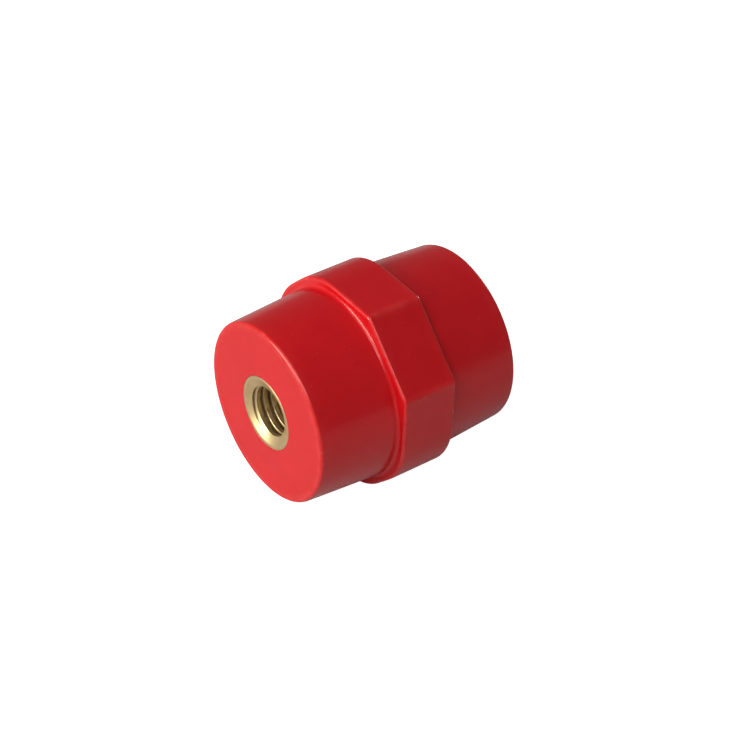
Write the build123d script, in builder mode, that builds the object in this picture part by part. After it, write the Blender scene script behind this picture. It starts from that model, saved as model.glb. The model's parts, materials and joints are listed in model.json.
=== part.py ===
"""Moulded standoff insulator: a red body with a blind threaded brass insert in each end.

Units are millimetres.  The insulator lies on one flat of its belt: its axis runs along Y,
the front end faces -Y, +Z is up, and the origin is the middle of the body.
"""
import os
from math import hypot, radians, tan

from build123d import *

# ---- body ----
overall_length = 40.0            # end face to end face
end_face_diameter = 32.0         # each end of the taper
belt_root_diameter = 33.8        # each end's taper where it meets the belt
end_rim_radius = 0.6             # rounded edge of each end face

# ---- eight-sided belt round the middle ----
belt_sides = 8
belt_across_flats = 36.8
belt_width = 10.4
sharp_corner_radius = 0.8        # the corners that stand clear of the mould's parting plane
soft_corner_radius = 13.5        # the corners beside the parting plane
belt_rim_radius = 0.5            # rounded edge of each belt face
belt_root_radius = 0.6           # blend from the taper into the belt face

# ---- brass inserts ----
insert_diameter = 13.2
insert_length = 15.0
head_land_length = 1.5           # plain turned land at the end face
tail_land_length = 1.5           # plain turned land at the buried end
tail_chamfer = 0.6
retaining_groove_width = 2.0
retaining_groove_depth = 0.7
knurl_teeth = 36
knurl_depth = 0.35
knurl_notch_width = 0.9          # at the barrel's surface

# ---- threaded hole of each insert ----
thread_diameter = 10.0           # M10 x 1.5, right-hand
thread_pitch = 1.5
tap_drill_diameter = 8.9         # leaves about two thirds of the full thread height in the brass
drill_land_length = 2.0          # plain drilled wall beyond the last turn
insert_floor = 0.5               # brass left behind the drill's point
drill_point_angle = 118.0
countersink_diameter = 12.2
countersink_angle = 130.0

# ---- worked out from the sizes above ----
half_length = overall_length / 2
end_face_radius = end_face_diameter / 2
belt_root_radius_at_taper = belt_root_diameter / 2
half_belt = belt_width / 2
belt_step = (belt_across_flats - belt_root_diameter) / 2
rim_fillet = min(belt_rim_radius, 0.4 * belt_step)
root_fillet = min(belt_root_radius, 0.4 * belt_step)

insert_radius = insert_diameter / 2
knurl_length = insert_length - head_land_length - tail_land_length
groove_centre = head_land_length + knurl_length / 2

# metric thread form: flanks 30 degrees either side, a flat root an eighth of the pitch wide
flank_slope = tan(radians(30))
thread_minor_radius = tap_drill_diameter / 2
thread_height = thread_diameter / 2 - thread_minor_radius
thread_root_width = thread_pitch / 8
thread_mouth_width = thread_root_width + 2 * thread_height * flank_slope
thread_cut_overlap = 0.2         # how far the cutting profile reaches inside the drilled wall
cut_inner_half = thread_mouth_width / 2 + thread_cut_overlap * flank_slope
drill_point_depth = thread_minor_radius / tan(radians(drill_point_angle / 2))
drill_depth = insert_length - insert_floor - drill_point_depth
thread_depth = drill_depth - drill_land_length
countersink_apex_depth = countersink_diameter / 2 / tan(radians(countersink_angle / 2))

os.makedirs("parts", exist_ok=True)


def distance_from_axis(edge):
    """Distance from the insulator's axis to the middle of an edge."""
    middle = edge @ 0.5
    return hypot(middle.X, middle.Z)


# ---- insert blank: the outside of an insert, solid all through, standing in the front end ----
face_y = -half_length
with BuildPart() as insert_blank:
    with BuildSketch(Plane.XY):
        with BuildLine():
            Polyline(
                (0, face_y),
                (insert_radius, face_y),
                (insert_radius, face_y + insert_length - tail_chamfer),
                (insert_radius - tail_chamfer, face_y + insert_length),
                (0, face_y + insert_length),
                close=True,
            )
        make_face()
    revolve(axis=Axis.Y)

    # straight knurl: V notches along the barrel between the two plain lands
    knurl_plane = Plane.XZ.offset(half_length - head_land_length)
    with BuildSketch(knurl_plane):
        with PolarLocations(insert_radius, knurl_teeth):
            Polygon(
                (-knurl_depth, 0),
                (knurl_depth, -knurl_notch_width),
                (knurl_depth, knurl_notch_width),
                align=None,
            )
    extrude(amount=-knurl_length, mode=Mode.SUBTRACT)

    # retaining groove: the moulding fills it and the insert can't pull out
    with BuildSketch(Plane.XY):
        with Locations((insert_radius, face_y + groove_centre)):
            Rectangle(2 * retaining_groove_depth, retaining_groove_width)
    revolve(axis=Axis.Y, mode=Mode.SUBTRACT)


# ---- front insert: the blank, drilled, tapped and countersunk ----
with BuildPart() as front_insert:
    add(insert_blank.part)

    with BuildSketch(Plane.XY):
        with BuildLine():
            Polyline(
                (0, face_y),
                (thread_minor_radius, face_y),
                (thread_minor_radius, face_y + drill_depth),
                (0, face_y + drill_depth + drill_point_depth),
                close=True,
            )
        make_face()
    revolve(axis=Axis.Y, mode=Mode.SUBTRACT)

    # the tap starts one pitch in front of the face, so the first turn opens into the countersink
    with BuildLine() as tap_path:
        Helix(
            pitch=thread_pitch,
            height=thread_depth + thread_pitch,
            radius=thread_minor_radius,
            center=(0, face_y - thread_pitch, 0),
            direction=(0, 1, 0),
        )
    tap_start = tap_path.line @ 0
    tap_plane = Plane(
        origin=tap_start,
        x_dir=tap_start - Vector(0, face_y - thread_pitch, 0),
        z_dir=tap_path.line % 0,
    )
    with BuildSketch(tap_plane):
        with BuildLine():
            Polyline(
                (-thread_cut_overlap, -cut_inner_half),
                (thread_height, -thread_root_width / 2),
                (thread_height, thread_root_width / 2),
                (-thread_cut_overlap, cut_inner_half),
                close=True,
            )
        make_face()
    sweep(path=tap_path.line, is_frenet=True, mode=Mode.SUBTRACT)

    with BuildSketch(Plane.XY):
        with BuildLine():
            Polyline(
                (0, face_y),
                (countersink_diameter / 2, face_y),
                (0, face_y + countersink_apex_depth),
                close=True,
            )
        make_face()
    revolve(axis=Axis.Y, mode=Mode.SUBTRACT)

front_insert.part.label = "front_insert"
export_step(front_insert.part, "parts/front_insert.step")


# ---- rear insert: the same piece turned end for end ----
with BuildPart() as rear_insert:
    add(front_insert.part, rotation=(0, 0, 180))

rear_insert.part.label = "rear_insert"
export_step(rear_insert.part, "parts/rear_insert.step")


# ---- moulded body: two tapered ends, the belt, and the seats that the inserts fill ----
with BuildPart() as insulator_body:
    with BuildSketch(Plane.XY):
        with BuildLine():
            Polyline(
                (0, -half_length),
                (end_face_radius, -half_length),
                (belt_root_radius_at_taper, -half_belt),
                (belt_root_radius_at_taper, half_belt),
                (end_face_radius, half_length),
                (0, half_length),
                close=True,
            )
        make_face()
    revolve(axis=Axis.Y)

    with BuildSketch(Plane.XZ) as belt_section:
        RegularPolygon(
            radius=belt_across_flats / 2,
            side_count=belt_sides,
            major_radius=False,
            rotation=180 / belt_sides,
        )
        corners = belt_section.vertices()
        sharp_corners = [corner for corner in corners if corner.X * corner.Y > 0]
        soft_corners = [corner for corner in corners if corner.X * corner.Y < 0]
        fillet(soft_corners, radius=soft_corner_radius)
        fillet(sharp_corners, radius=sharp_corner_radius)
    extrude(amount=half_belt, both=True)

    # the edges that lie in the two belt faces: the ring where the taper meets the face, and the rim
    belt_face_edges = [edge for edge in insulator_body.edges() if abs(abs(edge.center().Y) - half_belt) < 0.01]
    root_edges = [edge for edge in belt_face_edges if distance_from_axis(edge) < belt_root_radius_at_taper + 0.01]
    rim_edges = [edge for edge in belt_face_edges if distance_from_axis(edge) > belt_root_radius_at_taper + 0.01]
    fillet(root_edges, radius=root_fillet)
    fillet(rim_edges, radius=rim_fillet)

    end_edges = [edge for edge in insulator_body.edges() if abs(abs(edge.center().Y) - half_length) < 0.01]
    fillet(end_edges, radius=end_rim_radius)

    # each seat is the exact negative of an insert: the moulding flows round its knurl and groove
    add(insert_blank.part, mode=Mode.SUBTRACT)
    add(insert_blank.part, rotation=(0, 0, 180), mode=Mode.SUBTRACT)

insulator_body.part.label = "insulator_body"
export_step(insulator_body.part, "parts/insulator_body.step")
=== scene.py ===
# %% [markdown]
# # A red standoff insulator
# A standoff insulator holds a copper bar away from a metal panel.  This one is a moulded red
# polyester body with a blind threaded brass insert in each end.  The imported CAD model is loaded
# first and stays as it is: it says where everything goes, and the pieces made here take its place
# on the outside only.

# %% Load the frame
import json
from math import atan, cos, pi, radians, sin, tan

import bpy
import numpy as np
from mathutils import Matrix, Vector

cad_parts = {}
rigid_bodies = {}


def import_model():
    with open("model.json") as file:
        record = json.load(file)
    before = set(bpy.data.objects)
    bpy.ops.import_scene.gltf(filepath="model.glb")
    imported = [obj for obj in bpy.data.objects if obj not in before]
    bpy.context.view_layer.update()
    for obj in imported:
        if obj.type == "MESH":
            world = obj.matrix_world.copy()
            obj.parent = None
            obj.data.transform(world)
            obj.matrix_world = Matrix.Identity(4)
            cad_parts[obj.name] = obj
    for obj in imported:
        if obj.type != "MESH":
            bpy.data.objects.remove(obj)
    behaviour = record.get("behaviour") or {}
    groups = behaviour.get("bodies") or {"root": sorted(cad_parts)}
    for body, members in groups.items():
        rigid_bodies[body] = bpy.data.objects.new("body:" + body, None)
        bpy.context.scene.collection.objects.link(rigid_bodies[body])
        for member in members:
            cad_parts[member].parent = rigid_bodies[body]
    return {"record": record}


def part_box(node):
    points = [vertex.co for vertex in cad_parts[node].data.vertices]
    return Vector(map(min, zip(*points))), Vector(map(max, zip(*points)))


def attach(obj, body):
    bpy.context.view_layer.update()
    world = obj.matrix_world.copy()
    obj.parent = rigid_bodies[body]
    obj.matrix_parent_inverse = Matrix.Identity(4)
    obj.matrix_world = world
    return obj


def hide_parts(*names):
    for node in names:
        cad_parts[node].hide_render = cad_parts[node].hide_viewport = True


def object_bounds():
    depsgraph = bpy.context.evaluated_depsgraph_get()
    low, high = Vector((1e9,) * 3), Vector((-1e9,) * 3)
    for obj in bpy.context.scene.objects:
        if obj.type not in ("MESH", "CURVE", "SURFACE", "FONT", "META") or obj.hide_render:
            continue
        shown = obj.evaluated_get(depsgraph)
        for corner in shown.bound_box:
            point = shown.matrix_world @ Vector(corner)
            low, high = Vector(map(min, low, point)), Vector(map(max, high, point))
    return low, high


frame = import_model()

cad_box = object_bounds()
mm = 0.001
print("CAD box in mm:", [[round(float(v) / mm, 2) for v in corner] for corner in cad_box])

# %% [markdown]
# ## Sizes
# The overall sizes are read from the CAD nodes, so the moulding and the inserts can't drift away
# from the frame.  The small radii are what a mould maker would choose: a tool never leaves a
# perfectly sharp edge, and the thin bright line along each edge comes from that radius.

# %% Sizes taken from the frame
body_low, body_high = (np.array(corner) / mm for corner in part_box("insulator_body"))
insert_low, insert_high = (np.array(corner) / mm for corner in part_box("front_insert"))
mounts = {mount["name"]: mount for mount in frame["record"]["mounts"]}

half_length = body_high[1]
half_flats = body_high[2]
insert_radius = insert_high[0]
insert_length = insert_high[1] - insert_low[1]
bore_radius = mounts["front_thread"]["dims"]["r_mm"]
print("half length", half_length, "half flats", half_flats)
print("insert radius and length", insert_radius, insert_length, "bore radius", bore_radius)

# %% Sizes of the moulding, in millimetres
end_radius = 16.0
belt_root_radius = 16.9
half_belt = 5.2
end_rim = 0.6
belt_rim = 0.5
belt_root_blend = 0.6
sharp_corner = 1.2
soft_corner = 13.5
seat_clearance = 0.02
seat_mouth_round = 0.12
taper_slope = (belt_root_radius - end_radius) / (half_length - half_belt)
taper_angle = atan(taper_slope)

# %% [markdown]
# ## Meshes from arrays
# Both kinds of piece are closed skins round the Y axis: a profile is carried round the axis, and
# its distance from the axis may change with the angle.  Such a skin is one grid of points, rows
# along the profile and columns round the axis, with a single point at each end where the profile
# meets the axis.  Numpy works the whole grid out at once, and foreach_set hands it to Blender.

# %% A closed skin from a grid
def grid_faces(rows, columns):
    """Quads of a grid that closes on itself: (i, j) (i+1, j) (i+1, j+1) (i, j+1), j wrapping round."""
    i, j = np.meshgrid(np.arange(rows - 1), np.arange(columns), indexing="ij")
    nxt = (j + 1) % columns
    corners = [i * columns + j, (i + 1) * columns + j, (i + 1) * columns + nxt, i * columns + nxt]
    return np.stack(corners, axis=-1).reshape(-1, 4)


def signed_volume(points, triangles):
    """A sixth of the sum of a . (b x c) over the triangles: positive when the faces point outwards."""
    a, b, c = (points[triangles[:, k]] for k in range(3))
    return float(np.einsum("ij,ij->i", a, np.cross(b, c)).sum() / 6)


def skin(name, distance, along, angles, first_pole, last_pole, edge):
    """One closed mesh: point (i, j) is (d cos t, y, d sin t) with d = distance[i, j], y = along[i, j]
    and t = angles[j]; the first and the last row are closed by a fan to a point on the axis.
    edge[i, j] says how much a point lies on an outer edge, and is kept as the attribute "edge"."""
    rows, columns = distance.shape
    grid = np.stack([distance * np.cos(angles), along, distance * np.sin(angles)], axis=-1)
    poles = np.array([[0, first_pole, 0], [0, last_pole, 0]])
    points = np.concatenate([grid.reshape(-1, 3), poles]) * mm
    quads = grid_faces(rows, columns)
    j = np.arange(columns)
    nxt = (j + 1) % columns
    last = (rows - 1) * columns
    first_fan = np.stack([np.full(columns, rows * columns), j, nxt], axis=-1)
    last_fan = np.stack([np.full(columns, rows * columns + 1), last + nxt, last + j], axis=-1)
    triangles = np.concatenate([quads[:, [0, 1, 2]], quads[:, [0, 2, 3]], first_fan, last_fan])
    if signed_volume(points, triangles) < 0:
        quads, first_fan, last_fan = quads[:, ::-1], first_fan[:, ::-1], last_fan[:, ::-1]
    loops = np.concatenate([quads.ravel(), first_fan.ravel(), last_fan.ravel()])
    sizes = np.concatenate([np.full(len(quads), 4), np.full(2 * columns, 3)])
    mesh = bpy.data.meshes.new(name)
    mesh.vertices.add(len(points))
    mesh.vertices.foreach_set("co", points.ravel())
    mesh.loops.add(len(loops))
    mesh.loops.foreach_set("vertex_index", loops.astype(np.int32))
    mesh.polygons.add(len(sizes))
    mesh.polygons.foreach_set("loop_start", (np.cumsum(sizes) - sizes).astype(np.int32))
    mesh.polygons.foreach_set("use_smooth", np.ones(len(sizes), bool))
    mesh.update(calc_edges=True)
    mesh.validate()
    mesh.set_sharp_from_angle(angle=radians(35))
    on_edge = mesh.attributes.new("edge", "FLOAT", "POINT")
    on_edge.data.foreach_set("value", np.concatenate([edge.ravel(), [0, 0]]).astype(np.float32))
    piece = bpy.data.objects.new(name, mesh)
    bpy.context.scene.collection.objects.link(piece)
    print(name, len(points), "points,", len(triangles), "triangles,",
          round(abs(signed_volume(points, triangles)) / mm**3), "cubic mm")
    return piece


def held(start, end, count, hold=0.04):
    """count points from start to end, evenly spread, with one more a short way inside each end,
    so that smooth shading stays flat right up to the rounded edges beside it."""
    step = hold * np.sign(end - start)
    return np.concatenate([[start], np.linspace(start + step, end - step, count), [end]])

# %% [markdown]
# ## The belt's outline
# The belt has eight flats.  Its corners next to the mould's parting plane are rounded so far that
# the belt looks almost round there, and the others are crisp.  In polar form, a flat that stands
# a from the axis is a / cos(angle from the flat's middle), and a corner is an arc whose centre is
# on the corner's own ray, so one function of the angle gives the whole outline.

# %% Outline of the belt
flat_pitch = pi / 4
half_pitch = flat_pitch / 2


def belt_distance(angle, inset):
    """Distance from the axis to the belt's outline, shrunk by inset on every side.
    On a flat: apothem / cos(angle - flat).  On a corner: the far crossing of the ray with the
    corner's circle, c cos(d) + sqrt(rho^2 - c^2 sin^2 d), where d is the angle from the corner."""
    apothem = half_flats - inset
    corner = np.floor(angle / flat_pitch)
    from_corner = angle - (corner + 0.5) * flat_pitch
    from_flat = angle - np.round(angle / flat_pitch) * flat_pitch
    rho = np.where(corner % 4 < 2, sharp_corner, soft_corner) - inset
    centre = (apothem - rho) / cos(half_pitch)
    flat_end = np.arctan((apothem - rho) * tan(half_pitch) / apothem)
    on_flat = apothem / np.cos(from_flat)
    on_arc = centre * np.cos(from_corner) + np.sqrt(rho**2 - (centre * np.sin(from_corner)) ** 2)
    return np.where(np.abs(from_flat) <= flat_end, on_flat, on_arc)


# %% Angles round the body: even, with more of them at the crisp corners and the parting line
def close_angles(middle, reach, count):
    """count angles within reach degrees of middle."""
    return np.linspace(middle - reach, middle + reach, count)


crisp_corners = [22.5, 67.5, 202.5, 247.5]
parting_angles = [135.0, 315.0]
even = np.arange(0, 360, 1.2)
near = [close_angles(angle, 3.4, 17) for angle in crisp_corners]
near += [close_angles(angle, 1.6, 17) for angle in parting_angles]
busy = crisp_corners + parting_angles
clear = np.all([np.abs(even - angle) > 3.8 for angle in busy], axis=0)
body_angles = np.radians(np.sort(np.concatenate([even[clear]] + near)))
print("columns round the body:", len(body_angles))

# %% [markdown]
# ## The moulded body
# The profile starts at the bottom of the front insert's seat, comes out along the seat, goes over
# the end face and up the taper, climbs the belt's face, crosses the belt and mirrors itself to the
# rear.  Each row carries four numbers: its place along the axis, its round distance, how far the
# belt's outline is shrunk there, and how much of the outline it uses instead of the round distance.
# A mould is two halves that meet at 135 and 315 degrees, and they leave a hairline ridge.

# %% Profile of the front half
def front_half_rows():
    """Rows (y, round distance, inset, share of the belt's outline) from the seat's floor to the belt's
    rim.  Arcs are quarter turns: centre + radius (sin t, -cos t), shortened where they meet the taper."""
    face = -half_length
    seat = insert_radius + seat_clearance
    rows = []

    def add(along, distance, inset=0.0, share=0.0):
        shape = np.broadcast_arrays(along, distance, inset, share)
        rows.append(np.stack([np.asarray(part, float).ravel() for part in shape], axis=-1))

    add(face + insert_length, held(0.5, seat, 2))
    add(held(face + insert_length, face + seat_mouth_round, 6)[1:], seat)
    turn = np.linspace(0, pi / 2, 5)[1:]
    add(face + seat_mouth_round * (1 - np.sin(turn)), seat + seat_mouth_round * (1 - np.cos(turn)))

    rim_y = face + end_rim
    rim_centre = end_radius + taper_slope * end_rim - end_rim / cos(taper_angle)
    add(face, held(seat + seat_mouth_round, rim_centre, 9)[1:])
    turn = np.linspace(0, pi / 2 - taper_angle, 9)[1:]
    add(rim_y - end_rim * np.cos(turn), rim_centre + end_rim * np.sin(turn))

    root_y = -half_belt - belt_root_blend
    root_centre = end_radius + taper_slope * (root_y - face) + belt_root_blend / cos(taper_angle)
    taper_start = rim_y - end_rim * sin(taper_angle)
    taper_end = root_y + belt_root_blend * sin(taper_angle)
    taper = held(taper_start, taper_end, 8)[1:]
    add(taper, end_radius + taper_slope * (taper - face))
    turn = np.linspace(taper_angle, pi / 2, 8)[1:]
    add(root_y + belt_root_blend * np.sin(turn), root_centre - belt_root_blend * np.cos(turn))

    add(-half_belt, root_centre, belt_rim, np.array([0.04, 0.3, 0.65, 0.96, 1.0]))
    turn = np.linspace(0, pi / 2, 8)[1:]
    add(-half_belt + belt_rim * (1 - np.cos(turn)), 0.0, belt_rim * (1 - np.sin(turn)), 1.0)
    return np.concatenate(rows)


front_rows = front_half_rows()
across = held(-half_belt + belt_rim, half_belt - belt_rim, 7)[1:-1]
middle_rows = np.stack([across, 0 * across, 0 * across, 0 * across + 1], axis=-1)
rear_rows = front_rows[::-1] * [-1, 1, 1, 1]
body_rows = np.concatenate([front_rows, middle_rows, rear_rows])
print("rows along the body:", len(body_rows))

# %% The body's skin
parting_height = 0.035
parting_width = 0.11
ridge_from = end_radius - 0.25
rim_crest = 0.3
end_rim_fade = 0.35
belt_rim_fade = 0.3
corner_fade = 0.6


def body_distance(rows, angles):
    """(1 - share) round + share belt_distance(angle, inset), plus the parting ridge, a bell curve of
    the distance from the parting angle, on everything outside the end face."""
    round_part, inset, share = (rows[:, k, None] for k in (1, 2, 3))
    distance = (1 - share) * round_part + share * belt_distance(angles[None, :], inset)
    off = np.min([np.abs(angles - radians(angle)) for angle in parting_angles], axis=0)
    ridge = parting_height * np.exp(-((off * end_radius / parting_width) ** 2))
    outside = (distance > ridge_from) & (share < 1)
    on_belt = share == 1
    return distance + ridge * (outside | on_belt)


def body_edge(rows, angles):
    """1 on the rims of the end faces and of the belt and on the belt's crisp corners, falling to 0 as
    exp(-(s / fade)^2), where s is the distance from the crest of the rim or the corner."""
    along, share = np.abs(rows[:, 0, None]), rows[:, 3, None]
    past_end_rim = (along - half_length + rim_crest * end_rim) / end_rim_fade
    end_rims = np.exp(-(past_end_rim ** 2)) * (rows[:, 1, None] > end_radius - 1)
    past_belt_rim = (along - half_belt + rim_crest * belt_rim) / belt_rim_fade
    belt_rims = np.exp(-(past_belt_rim ** 2)) * (share == 1)
    off = np.min([np.abs(angles - radians(angle)) for angle in crisp_corners], axis=0) * half_flats
    corners = np.exp(-((off / corner_fade) ** 2)) * (share == 1)
    return np.maximum(np.maximum(end_rims, belt_rims) + 0 * angles, corners)


distance = body_distance(body_rows, body_angles)
along = np.repeat(body_rows[:, :1], len(body_angles), axis=1)
moulded_body = skin("moulded_body", distance, along, body_angles,
                    -half_length + insert_length, half_length - insert_length,
                    body_edge(body_rows, body_angles))
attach(moulded_body, "root")
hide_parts("insulator_body")

# %% [markdown]
# ## The brass inserts
# An insert is turned from bar: a knurled barrel with a groove that the moulding grips, a flat rim,
# a wide countersink and a tapped blind hole.  The thread is cut as a real helix.  Its height over
# the surface depends on one phase only, the distance along the axis in turns plus the angle in
# turns, so the helix needs no path: it is one formula over the whole grid, and the countersink is
# the larger of the cone's and the thread's distances from the axis.

# %% Sizes of an insert, in millimetres
land = 1.5
tail_chamfer = 0.6
knurl_teeth = 36
knurl_depth = 0.35
knurl_half_notch = 0.45
groove_width = 2.0
groove_depth = 0.7
edge_break = 0.08
countersink_radius = 6.1
countersink_slope = tan(radians(65))
thread_pitch = 1.5
thread_major = 5.0
thread_start = -0.05
insert_floor = 0.5
point_depth = insert_length - insert_floor
drill_depth = point_depth - bore_radius / tan(radians(59))
thread_end = drill_depth - 2.0
knurl_step = 0.01
groove_mouth = 0.87
flank_share = 0.42
flank_rounding = 0.4
edge_fade = 0.12
columns_per_tooth = 9
rows_per_turn = 22
insert_columns = knurl_teeth * columns_per_tooth
insert_angles = np.arange(insert_columns) * 2 * pi / insert_columns
print("drilled", round(drill_depth, 2), "mm deep, thread ends at", round(thread_end, 2), "mm")

# %% The knurl and the thread as formulas
def knurled(distance, angles):
    """The barrel's distance less V notches: depth (1 - s / half notch), s along the surface from a notch."""
    tooth = 2 * pi / knurl_teeth
    off = np.abs(angles - np.round(angles / tooth) * tooth) * distance
    return distance - knurl_depth * np.clip(1 - off / knurl_half_notch, 0, None)


def threaded(depth, angles):
    """Distance of the thread's surface: a trapezoid wave of the phase depth / pitch + angle / turn,
    the bore on the crest, the major radius at the root, flanks between, a little rounded by smoothstep."""
    phase = (depth / thread_pitch + angles / (2 * pi) + thread_start) % 1
    from_crest = np.abs(phase - 0.5) * 2
    flank = np.clip((groove_mouth - from_crest) / flank_share, 0, 1)
    rounded = flank * flank * (3 - 2 * flank)
    height = (1 - flank_rounding) * flank + flank_rounding * rounded
    return thread_major - (thread_major - bore_radius) * height


def insert_grid(angles):
    """(distance, depth) of an insert, rows from its tail's centre over the barrel to the rim, down the
    countersink and the thread to the drill's point.  Depth is measured from the end face."""
    turns = np.ones(len(angles))
    barrel_end = insert_length - land
    groove_middle = insert_length / 2
    rows = []

    def add(depth, distance, shape=None):
        ring = distance * turns if shape is None else shape(distance, angles)
        rows.append((ring, depth * turns))

    for distance_now in (1.0, insert_radius - tail_chamfer):
        add(insert_length, distance_now)
    add(insert_length - tail_chamfer, insert_radius)
    add(barrel_end, insert_radius)
    for depth_now in (barrel_end - knurl_step, groove_middle + groove_width / 2 + knurl_step):
        add(depth_now, insert_radius, knurled)
    for depth_now in (groove_middle + groove_width / 2, groove_middle - groove_width / 2):
        add(depth_now, insert_radius - groove_depth)
    for depth_now in (groove_middle - groove_width / 2 - knurl_step, land + knurl_step):
        add(depth_now, insert_radius, knurled)
    add(land, insert_radius)
    for turn_now in np.linspace(0, pi / 2, 4):
        add(edge_break * (1 - sin(turn_now)), insert_radius - edge_break * (1 - cos(turn_now)))
    for distance_now in held(insert_radius - edge_break, countersink_radius + edge_break, 3, 0.02)[1:]:
        add(0, distance_now)

    cone_rows = np.concatenate([[0.03], np.arange(0.08, 0.5, 0.06), np.arange(0.5, 1.2, 0.03)])
    hole = np.concatenate([cone_rows, np.arange(1.2, thread_end, thread_pitch / rows_per_turn)])
    cone = countersink_radius - countersink_slope * hole[:, None]
    tapped = threaded(hole[:, None], angles[None, :])
    hole_distance = np.maximum(cone, tapped)
    for depth_now, ring in zip(hole, hole_distance):
        rows.append((ring, depth_now * turns))
    for depth_now in np.linspace(thread_end + 0.05, drill_depth, 4):
        add(depth_now, bore_radius)
    add(point_depth - 0.6, 1.0)
    return np.array([row[0] for row in rows]), np.array([row[1] for row in rows])


def brass_insert(name, node, turned):
    """An insert at its end: y = depth - half length, or half a turn about Z from there."""
    ring, depth = insert_grid(insert_angles)
    sign = -1 if turned else 1
    angles = pi - insert_angles if turned else insert_angles
    along = sign * (depth - half_length)
    tail = sign * (insert_length - half_length)
    point = sign * (point_depth - half_length)
    corner = np.hypot(ring - countersink_radius, depth) * (depth < 1)
    crest = np.exp(-(((ring - bore_radius) / edge_fade) ** 2)) * (depth > 0.6)
    edge = np.maximum(np.exp(-((corner / edge_fade) ** 2)) * (depth < 1), crest)
    piece = skin(name, ring, along, angles, tail, point, edge)
    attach(piece, "root")
    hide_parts(node)
    return piece


front_insert = brass_insert("brass_insert_front", "front_insert", False)
rear_insert = brass_insert("brass_insert_rear", "rear_insert", True)

# %% [markdown]
# ## Node helpers and the shared effects
# Three effects turn up in both finishes: a slow mottle that shifts colour and gloss, fine specks,
# and a rubbed look where fingers and tools touch edges.  Each is a node group with named inputs and
# outputs, built once and given its own values in each finish.

# %% Helpers that keep the node code short
def new_node(tree, kind, **settings):
    """A node of that kind, with its plain settings given by name."""
    node = tree.nodes.new(kind)
    for key, value in settings.items():
        setattr(node, key, value)
    return node


def wire(tree, source, target):
    """Joins an output socket to an input socket."""
    tree.links.new(source, target)


def maths(tree, operation, first, second=None, clamp=False):
    """A Math node; each operand is a socket or a number."""
    node = new_node(tree, "ShaderNodeMath", operation=operation, use_clamp=clamp)
    for socket, value in zip(node.inputs, (first, second)):
        if value is None:
            continue
        if isinstance(value, (int, float)):
            socket.default_value = value
        else:
            wire(tree, value, socket)
    return node.outputs[0]


def colour_mix(tree, amount, first, second):
    """A colour Mix node; each colour is a socket or an RGB triple.  Its factor is input 0, and its
    two colours are inputs 6 and 7, because the earlier ones belong to its number and vector modes."""
    node = new_node(tree, "ShaderNodeMix", data_type="RGBA")
    slots = {0: amount, 6: first, 7: second}
    for index, value in slots.items():
        socket = node.inputs[index]
        if isinstance(value, (int, float)):
            socket.default_value = value
        elif isinstance(value, tuple):
            socket.default_value = (*value, 1.0)
        else:
            wire(tree, value, socket)
    return node.outputs[2]


def remap(tree, value, low, high, to_low, to_high):
    """A Map Range node with clamping."""
    node = new_node(tree, "ShaderNodeMapRange")
    wire(tree, value, node.inputs["Value"])
    for name, number in zip(("From Min", "From Max", "To Min", "To Max"), (low, high, to_low, to_high)):
        node.inputs[name].default_value = number
    return node.outputs["Result"]


def noise(tree, vector, scale, detail=3.0, rough=0.5):
    """A Noise Texture's value between 0 and 1."""
    node = new_node(tree, "ShaderNodeTexNoise")
    wire(tree, vector, node.inputs["Vector"])
    for name, value in (("Scale", scale), ("Detail", detail), ("Roughness", rough)):
        if isinstance(value, (int, float)):
            node.inputs[name].default_value = value
        else:
            wire(tree, value, node.inputs[name])
    return node.outputs["Fac"]


def group(name, inputs, outputs):
    """An empty node group with the named sockets, and its input and output nodes."""
    tree = bpy.data.node_groups.new(name, "ShaderNodeTree")
    for label, kind, default in inputs:
        socket = tree.interface.new_socket(label, in_out="INPUT", socket_type=kind)
        if default is not None:
            socket.default_value = default
    for label, kind in outputs:
        tree.interface.new_socket(label, in_out="OUTPUT", socket_type=kind)
    return tree, new_node(tree, "NodeGroupInput"), new_node(tree, "NodeGroupOutput")


# %% Group: slow mottle
FLOAT, VECTOR = "NodeSocketFloat", "NodeSocketVector"
mottle_group, inside, outside = group(
    "slow mottle",
    [("Vector", VECTOR, None), ("Size per metre", FLOAT, 150.0), ("Contrast", FLOAT, 1.0)],
    [("Mottle", FLOAT)],
)
broad = noise(mottle_group, inside.outputs["Vector"], inside.outputs["Size per metre"], 4.0, 0.6)
centred = maths(mottle_group, "SUBTRACT", broad, 0.5)
stretched = maths(mottle_group, "MULTIPLY", centred, inside.outputs["Contrast"])
wire(mottle_group, maths(mottle_group, "ADD", stretched, 0.5, clamp=True), outside.inputs["Mottle"])

# %% Group: fine specks
speck_group, inside, outside = group(
    "fine specks",
    [("Vector", VECTOR, None), ("Size per metre", FLOAT, 1500.0), ("Share", FLOAT, 0.1)],
    [("Specks", FLOAT)],
)
cells = new_node(speck_group, "ShaderNodeTexVoronoi", feature="F1")
wire(speck_group, inside.outputs["Vector"], cells.inputs["Vector"])
wire(speck_group, inside.outputs["Size per metre"], cells.inputs["Scale"])
chosen = maths(speck_group, "LESS_THAN", cells.outputs["Color"], inside.outputs["Share"])
inside_cell = remap(speck_group, cells.outputs["Distance"], 0.12, 0.42, 1.0, 0.0)
wire(speck_group, maths(speck_group, "MULTIPLY", chosen, inside_cell), outside.inputs["Specks"])

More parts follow.
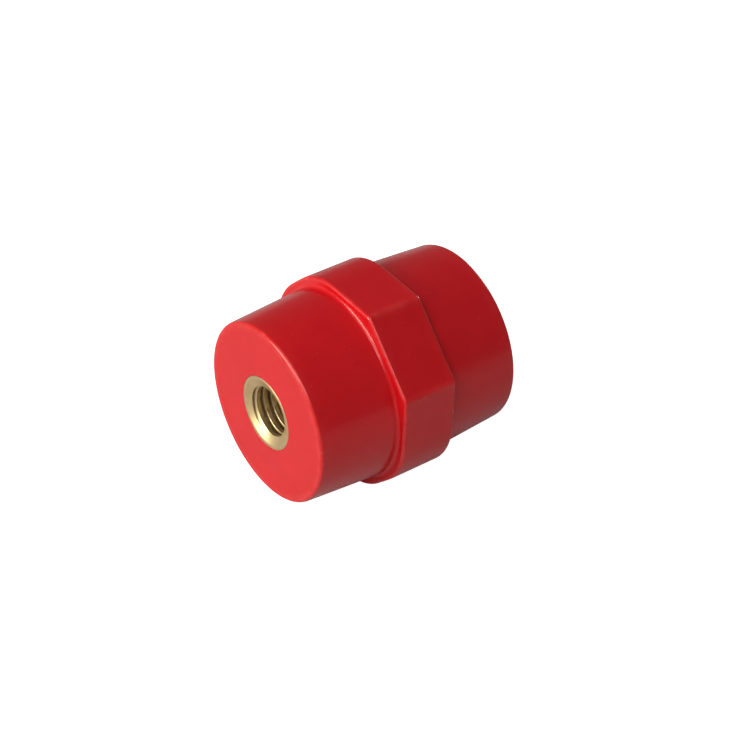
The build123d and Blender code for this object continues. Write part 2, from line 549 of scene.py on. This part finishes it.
# %% Group: rubbed edges
rub_group, inside, outside = group(
    "rubbed edges",
    [("Vector", VECTOR, None), ("Size per metre", FLOAT, 600.0), ("Amount", FLOAT, 1.0)],
    [("Rubbed", FLOAT)],
)
edge = new_node(rub_group, "ShaderNodeAttribute", attribute_name="edge").outputs["Fac"]
patchy = remap(rub_group, noise(rub_group, inside.outputs["Vector"], inside.outputs["Size per metre"]),
               0.35, 0.65, 0.2, 1.0)
scaled = maths(rub_group, "MULTIPLY", maths(rub_group, "MULTIPLY", edge, patchy), inside.outputs["Amount"])
wire(rub_group, scaled, outside.inputs["Rubbed"])
print("shared effects:", [tree.name for tree in bpy.data.node_groups])


# %% A new material, and a shared effect placed in it
def new_material(name):
    """(material, its node tree, its Principled BSDF, its Object coordinates)."""
    material = bpy.data.materials.new(name)
    material.use_nodes = True
    tree = material.node_tree
    shader = tree.nodes["Principled BSDF"]
    place = new_node(tree, "ShaderNodeTexCoord").outputs["Object"]
    return material, tree, shader, place


def effect(tree, shared, place, **values):
    """The shared group with these values; its first output."""
    node = new_node(tree, "ShaderNodeGroup", node_tree=shared)
    wire(tree, place, node.inputs["Vector"])
    for name, value in values.items():
        node.inputs[name.replace("_", " ")].default_value = value
    return node.outputs[0]


def bump(tree, height, strength, reach, before=None):
    """A Bump node's normal; reach is the height in metres of a full step."""
    node = new_node(tree, "ShaderNodeBump")
    node.inputs["Strength"].default_value = strength
    node.inputs["Distance"].default_value = reach
    wire(tree, height, node.inputs["Height"])
    if before is not None:
        wire(tree, before, node.inputs["Normal"])
    return node.outputs["Normal"]


# %% [markdown]
# ## The red moulding
# Glass-filled polyester is pressed hot in a polished mould.  It comes out deep red and glossy, with
# a faint orange peel, a slow mottle where the resin flowed and tiny pale and dark specks of fibre
# and pigment.  Where edges are handled the gloss is slightly rubbed.

# %% Red moulding
moulding, tree, shader, place = new_material("red moulding")
mottle = effect(tree, mottle_group, place, Size_per_metre=170.0, Contrast=1.6)
flow = effect(tree, mottle_group, place, Size_per_metre=55.0, Contrast=1.4)
pale = effect(tree, speck_group, place, Size_per_metre=1900.0, Share=0.10)
dark = effect(tree, speck_group, place, Size_per_metre=1300.0, Share=0.07)
rubbed = effect(tree, rub_group, place, Size_per_metre=500.0, Amount=0.35)
red = colour_mix(tree, mottle, (0.51, 0.002, 0.006), (0.59, 0.004, 0.010))
red = colour_mix(tree, maths(tree, "MULTIPLY", flow, 0.35), red, (0.63, 0.008, 0.010))
red = colour_mix(tree, maths(tree, "MULTIPLY", pale, 0.12), red, (0.72, 0.10, 0.10))
red = colour_mix(tree, maths(tree, "MULTIPLY", dark, 0.22), red, (0.22, 0.006, 0.010))
red = colour_mix(tree, rubbed, red, (0.74, 0.07, 0.06))
wire(tree, red, shader.inputs["Base Color"])
gloss = remap(tree, mottle, 0.0, 1.0, 0.17, 0.27)
gloss = maths(tree, "ADD", gloss, maths(tree, "MULTIPLY", rubbed, 0.15))
wire(tree, gloss, shader.inputs["Roughness"])
shader.inputs["IOR"].default_value = 1.47
peel = noise(tree, place, 900.0, 2.0, 0.5)
fine = noise(tree, place, 5200.0, 2.0, 0.5)
normal = bump(tree, peel, 0.30, 0.00003)
normal = bump(tree, fine, 0.18, 0.000008, normal)
wire(tree, normal, shader.inputs["Normal"])
print(moulding.name, "has", len(tree.nodes), "nodes")

# %% [markdown]
# ## The brass
# The inserts are turned and tapped, so the tool leaves fine rings round the axis on the rim and the
# countersink.  Rings round Y are a function of the distance from the axis, the length of (x, 0, z).
# Deeper in the hole the metal is duller, and its colour is darkened there as painted shade; the thread's
# groove gets the darkest painted shade.

# %% Brass
brass, tree, shader, place = new_material("turned brass")
parts = new_node(tree, "ShaderNodeSeparateXYZ")
wire(tree, place, parts.inputs[0])
flat = new_node(tree, "ShaderNodeCombineXYZ")
wire(tree, parts.outputs["X"], flat.inputs["X"])
wire(tree, parts.outputs["Z"], flat.inputs["Z"])
length_of = new_node(tree, "ShaderNodeVectorMath", operation="LENGTH")
wire(tree, flat.outputs[0], length_of.inputs[0])
from_axis = length_of.outputs["Value"]
ring_vector = new_node(tree, "ShaderNodeCombineXYZ")
wire(tree, from_axis, ring_vector.inputs["X"])
rings = noise(tree, ring_vector.outputs[0], 9000.0, 3.0, 0.7)
mottle = effect(tree, mottle_group, place, Size_per_metre=420.0, Contrast=1.8)
stains = effect(tree, speck_group, place, Size_per_metre=1700.0, Share=0.16)
rubbed = effect(tree, rub_group, place, Size_per_metre=900.0, Amount=0.5)
from_middle = maths(tree, "ABSOLUTE", parts.outputs["Y"])
thread_top, thread_dark = 0.0192, 0.0165
crest_edge, groove_edge = 0.00455, 0.00490
# painted shade: the brass is painted darker towards the bottom of the hole, and also made duller there
deep = remap(tree, from_middle, thread_top, thread_dark, 0.0, 1.0)
past_cone = remap(tree, from_middle, thread_top + 0.0002, thread_top, 0.0, 1.0)
# painted shade: the thread's grooves past the countersink are painted nearly black
groove_shade = maths(tree, "MULTIPLY", past_cone, remap(tree, from_axis, crest_edge, groove_edge, 0.0, 1.0))
gold = colour_mix(tree, mottle, (0.73, 0.55, 0.28), (0.84, 0.69, 0.39))
gold = colour_mix(tree, maths(tree, "MULTIPLY", stains, 0.25), gold, (0.40, 0.24, 0.12))
# the next two mixes paint shade: darker with depth in the hole, darkest in the thread's grooves
gold = colour_mix(tree, maths(tree, "MULTIPLY", deep, 0.45), gold, (0.30, 0.19, 0.07))
gold = colour_mix(tree, maths(tree, "MULTIPLY", groove_shade, 0.65), gold, (0.10, 0.07, 0.03))
gold = colour_mix(tree, rubbed, gold, (0.92, 0.80, 0.55))
wire(tree, gold, shader.inputs["Base Color"])
shader.inputs["Metallic"].default_value = 1.0
dull = remap(tree, rings, 0.3, 0.7, 0.26, 0.42)
dull = maths(tree, "ADD", dull, maths(tree, "MULTIPLY", deep, 0.1))
wire(tree, dull, shader.inputs["Roughness"])
normal = bump(tree, rings, 0.5, 0.00001)
wire(tree, normal, shader.inputs["Normal"])
print(brass.name, "has", len(tree.nodes), "nodes")

# %% Put the finishes on
moulded_body.data.materials.append(moulding)
for piece in (front_insert, rear_insert):
    piece.data.materials.append(brass)

# %% [markdown]
# ## The studio
# A pale sheet under the object, a large soft light in front and to the left, a wide soft light
# above, another on the upper right, a weak low one behind and dim surroundings, so that the gloss
# shows broad soft bands.  The sheet is lifted to
# white for the camera only, as on a catalogue page, and the object still meets the sheet's
# ordinary brightness.

# %% The pale floor
floor_size = 1.6
floor_height = float(cad_box[0][2])
floor_mesh = bpy.data.meshes.new("floor")
half = floor_size / 2
floor_points = [(-half, -half, floor_height), (half, -half, floor_height),
                (half, half, floor_height), (-half, half, floor_height)]
floor_mesh.from_pydata(floor_points, [], [(0, 1, 2, 3)])
floor = bpy.data.objects.new("floor", floor_mesh)
bpy.context.scene.collection.objects.link(floor)
paper, tree, shader, place = new_material("pale paper")
tone = effect(tree, mottle_group, place, Size_per_metre=30.0, Contrast=0.6)
wire(tree, colour_mix(tree, tone, (0.54, 0.54, 0.54), (0.58, 0.58, 0.57)), shader.inputs["Base Color"])
shader.inputs["Roughness"].default_value = 0.9
seen = new_node(tree, "ShaderNodeLightPath").outputs["Is Camera Ray"]
wire(tree, maths(tree, "MULTIPLY", seen, 0.95), shader.inputs["Emission Strength"])
shader.inputs["Emission Color"].default_value = (1.0, 1.0, 1.0, 1.0)
floor_mesh.materials.append(paper)

# %% The lights
world = bpy.data.worlds.new("studio")
bpy.context.scene.world = world
world.use_nodes = True
tree = world.node_tree
surroundings = tree.nodes["Background"]
surroundings.inputs["Color"].default_value = (1.0, 0.985, 0.97, 1.0)
seen = new_node(tree, "ShaderNodeLightPath").outputs["Is Camera Ray"]
wire(tree, remap(tree, seen, 0.0, 1.0, 0.17, 0.85), surroundings.inputs["Strength"])


def soft_light(name, place, width, height, power, colour):
    """A rectangular light at place that faces the object's middle."""
    lamp = bpy.data.lights.new(name, "AREA")
    lamp.shape = "RECTANGLE"
    lamp.size = width
    lamp.size_y = height
    lamp.energy = power
    lamp.color = colour
    light = bpy.data.objects.new(name, lamp)
    facing_middle = Vector(place).to_track_quat("Z", "Y").to_matrix().to_4x4()
    light.matrix_world = Matrix.Translation(place) @ facing_middle
    bpy.context.scene.collection.objects.link(light)
    print(name, power, "W")


soft_light("front_left_light", (-0.30, -0.85, 0.22), 0.50, 0.40, 7.4, (1.0, 0.94, 0.78))
soft_light("top_light", (-0.05, -0.40, 0.75), 0.60, 0.45, 1.2, (1.0, 0.98, 0.98))
soft_light("upper_right_light", (0.36, -0.50, 0.60), 0.50, 0.40, 3.3, (1.0, 0.97, 1.0))
soft_light("back_light", (-0.35, 0.93, 0.12), 0.30, 0.25, 2.2, (1.0, 0.97, 0.95))

# %% [markdown]
# ## The camera
# A long lens from the front right, looking down at the insulator.  The camera leans two degrees,
# and aims a hair beside the object's middle.

# %% Camera
azimuth, elevation, lean = radians(52.48), radians(38.46), radians(2.24)
distance_to_middle = 0.3772
aim_right, aim_up = 0.00061, 0.00071
back = Vector((sin(azimuth) * cos(elevation), -cos(azimuth) * cos(elevation), sin(elevation)))
level_right = Vector((0, 0, 1)).cross(back).normalized()
level_up = back.cross(level_right)
right = level_right * cos(lean) + level_up * sin(lean)
up = level_up * cos(lean) - level_right * sin(lean)
eye = back * distance_to_middle + right * aim_right + up * aim_up
lens = bpy.data.cameras.new("camera")
lens.lens = 109.2
lens.sensor_width = 36.0
camera = bpy.data.objects.new("camera", lens)
facing = Matrix((right, up, back)).transposed()
camera.matrix_world = Matrix.Translation(eye) @ facing.to_4x4()
bpy.context.scene.collection.objects.link(camera)
bpy.context.scene.camera = camera
bpy.context.scene.view_settings.view_transform = "Standard"
print("camera at", [round(v, 4) for v in eye])
